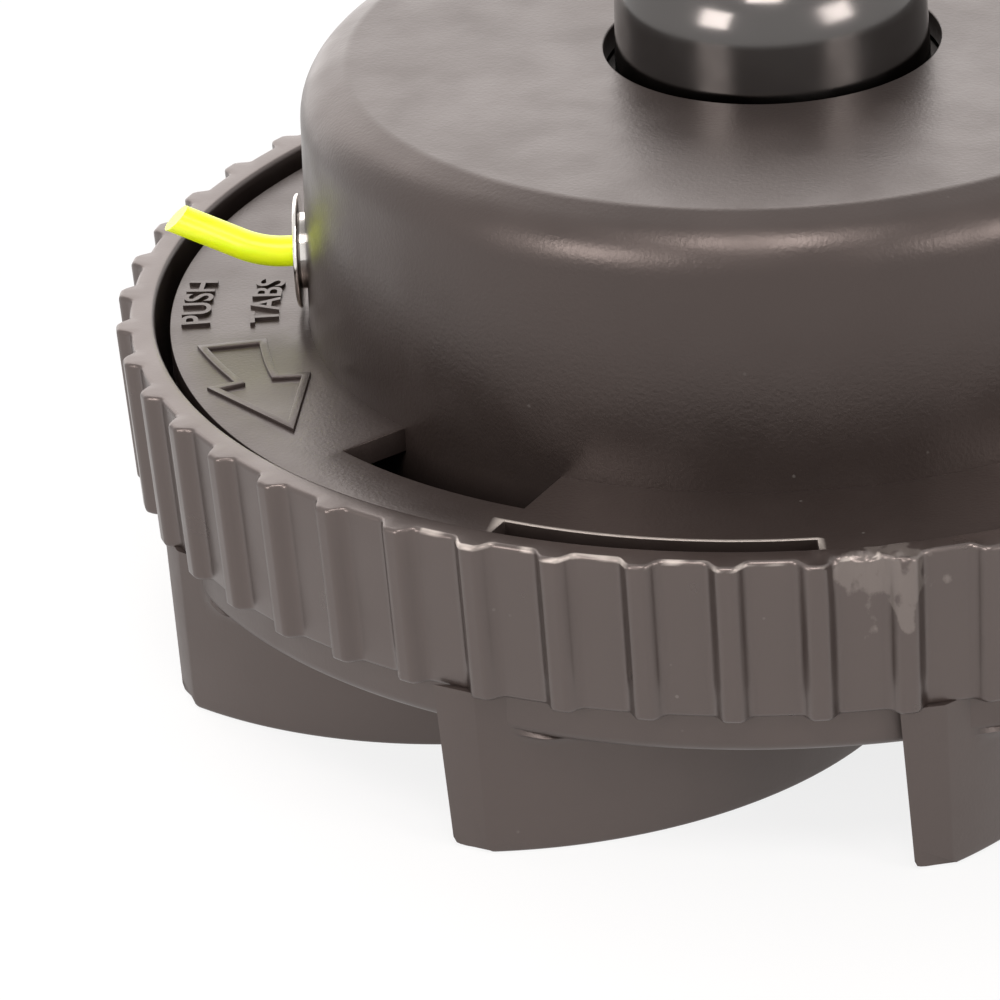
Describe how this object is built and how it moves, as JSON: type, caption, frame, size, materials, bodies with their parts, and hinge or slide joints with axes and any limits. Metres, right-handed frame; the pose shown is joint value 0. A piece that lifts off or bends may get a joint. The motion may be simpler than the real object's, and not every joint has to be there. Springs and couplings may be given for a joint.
{
  "type": "bump feed trimmer head",
  "caption": "Round line trimmer head: ribbed grip ring with fan vanes, snap-in spool cover with line eyelets, and a polished knob that feeds line when it is bumped.",
  "frame": {"origin": "on the spin axis, in the plane of the fan vane tips", "axes": "+Z along the spin axis towards the bump knob; +X through the right line eyelet"},
  "size_m": [0.13, 0.13, 0.0697],
  "materials": {
    "base_plastic": "moulded black nylon, satin on the grip ring",
    "cover_plastic": "moulded black nylon, finely textured",
    "knob_steel": "turned and polished steel",
    "eyelet_nickel": "nickel plated",
    "line_nylon": "fluorescent yellow nylon monofilament",
    "spool_plastic": "moulded nylon",
    "spring_steel": "spring wire",
    "washer_steel": "stamped steel",
    "spindle_steel": "turned steel"
  },
  "bodies": {
    "housing": {"fan_base": "base_plastic", "spool_cover": "cover_plastic", "drive_spindle": "spindle_steel", "eyelet_left": "eyelet_nickel", "eyelet_right": "eyelet_nickel", "line_end_left": "line_nylon", "line_end_right": "line_nylon", "feed_spring": "spring_steel"},
    "carriage": {"spring_washer": "washer_steel"},
    "feed_unit": {"spool": "spool_plastic", "winding_upper": "line_nylon", "winding_lower": "line_nylon", "bump_knob": "knob_steel"}
  },
  "joints": [
    {"name": "bump_press", "type": "slide", "parent": "housing", "child": "carriage", "axis": [0, 0, -1], "range_m": [0, 0.005], "stiffness_N_per_m": 1500, "springref_m": -0.01, "deforming": ["feed_spring"]},
    {"name": "spool_index", "type": "hinge", "parent": "carriage", "child": "feed_unit", "pos_m": [0, 0, 0], "axis": [0, 0, 1], "range_deg": [0, 28]}
  ]
}
